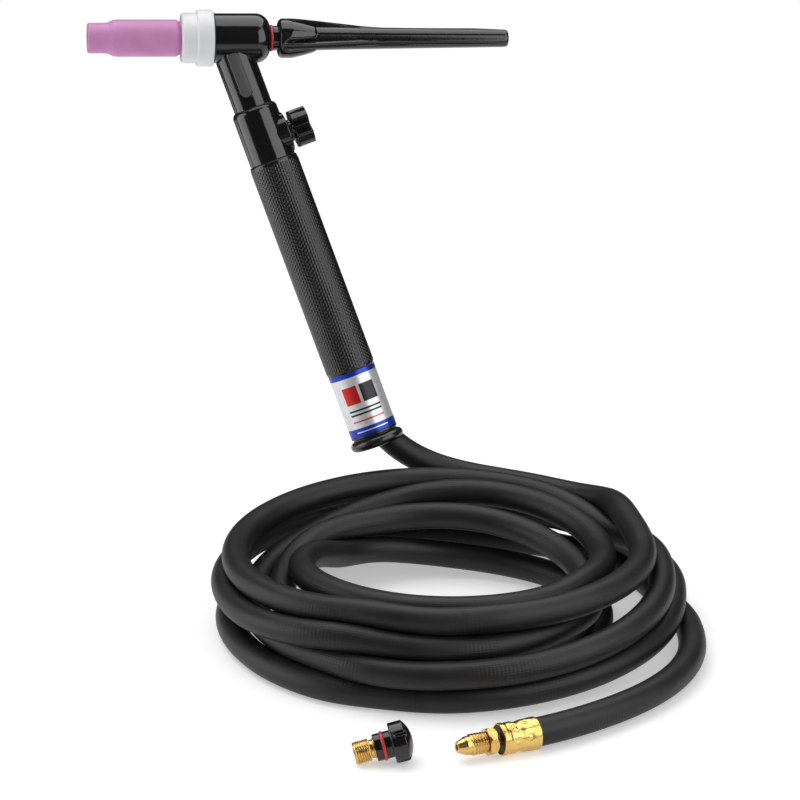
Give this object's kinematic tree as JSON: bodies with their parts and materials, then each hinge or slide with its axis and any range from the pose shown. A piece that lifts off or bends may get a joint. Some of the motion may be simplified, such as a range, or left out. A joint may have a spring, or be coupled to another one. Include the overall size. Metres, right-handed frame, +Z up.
{
  "type": "tig welding torch",
  "caption": "Air-cooled TIG torch with a gas valve, knurled handle, long back cap, coiled hose with a brass fitting, and a spare short back cap.",
  "frame": {"origin": "on the floor below the middle of the box round the torch and the spare cap, without the hose and its fitting", "axes": "+X from the nozzle towards the back cap, +Y away from the neck panel side, +Z up from the floor"},
  "size_m": [0.2916, 0.3328, 0.258],
  "materials": {
    "alumina": "satin, fired",
    "gasket": "satin",
    "brass": "turned",
    "copper": "turned",
    "tungsten": "ground",
    "gloss_black": "gloss",
    "matte_black": "knurled",
    "red_rubber": "satin",
    "black_rubber": "satin",
    "boot_rubber": "gloss",
    "dark_metal": "dark",
    "foil": "printed foil"
  },
  "bodies": {
    "torch": {"cup_gasket": "gasket", "collet_body": "brass", "collet": "copper", "head_shell": "gloss_black", "head_core": "brass", "neck_tube": "brass", "valve_housing": "gloss_black", "valve_block": "brass", "valve_gland": "dark_metal", "grip": "matte_black", "label": "foil", "boot": "boot_rubber", "cable_nipple": "brass", "inner_ferrule": "brass", "hose_inner": "black_rubber", "hose_lead": "black_rubber", "hose_coil": "black_rubber", "hose_tail": "black_rubber", "hose_end": "black_rubber", "ferrule": "brass", "fitting": "brass"},
    "nozzle": {"cup": "alumina"},
    "tungsten": {"electrode": "tungsten"},
    "cap_seal": {"cap_ring": "red_rubber"},
    "long_cap": {"back_cap": "gloss_black", "cap_insert": "brass"},
    "stem_seal": {"stem_ring": "black_rubber"},
    "valve_turner": {"valve_stem": "brass", "valve_knob": "gloss_black"},
    "short_cap": {"spare_cap": "gloss_black", "spare_insert": "brass", "spare_ring": "red_rubber"}
  },
  "joints": [
    {"name": "nozzle_draw", "type": "slide", "parent": "torch", "child": "nozzle", "axis": [-0.9898, -0.1391, 0.0323], "range_m": [0, 0.009]},
    {"name": "electrode_slide", "type": "slide", "parent": "torch", "child": "tungsten", "axis": [-0.9898, -0.1391, 0.0323], "range_m": [0, 0.015]},
    {"name": "back_cap_travel", "type": "slide", "parent": "torch", "child": "cap_seal", "axis": [0.9898, 0.1391, -0.0323], "range_m": [0, 0.007]},
    {"name": "back_cap_turn", "type": "hinge", "parent": "cap_seal", "child": "long_cap", "pos_m": [-0.00936, 0.14698, 0.24309], "axis": [0.9898, 0.1391, -0.0323], "range_deg": [0, 2520]},
    {"name": "valve_travel", "type": "slide", "parent": "torch", "child": "stem_seal", "axis": [0.9268, 0.2301, 0.2969], "range_m": [0, 0.0012]},
    {"name": "valve_turn", "type": "hinge", "parent": "stem_seal", "child": "valve_turner", "pos_m": [-0.00213, 0.13523, 0.20103], "axis": [0.9268, 0.2301, 0.2969], "range_deg": [0, 540]},
    {"name": "spare_cap_lift", "type": "slide", "parent": "torch", "child": "short_cap", "axis": [0, 0, 1], "range_m": [0, 0.06]}
  ],
  "couplings": [
    {"joint": "back_cap_travel", "follows": "back_cap_turn", "m_per_rad": 0.00015915},
    {"joint": "valve_travel", "follows": "valve_turn", "m_per_rad": 0.00012732}
  ]
}
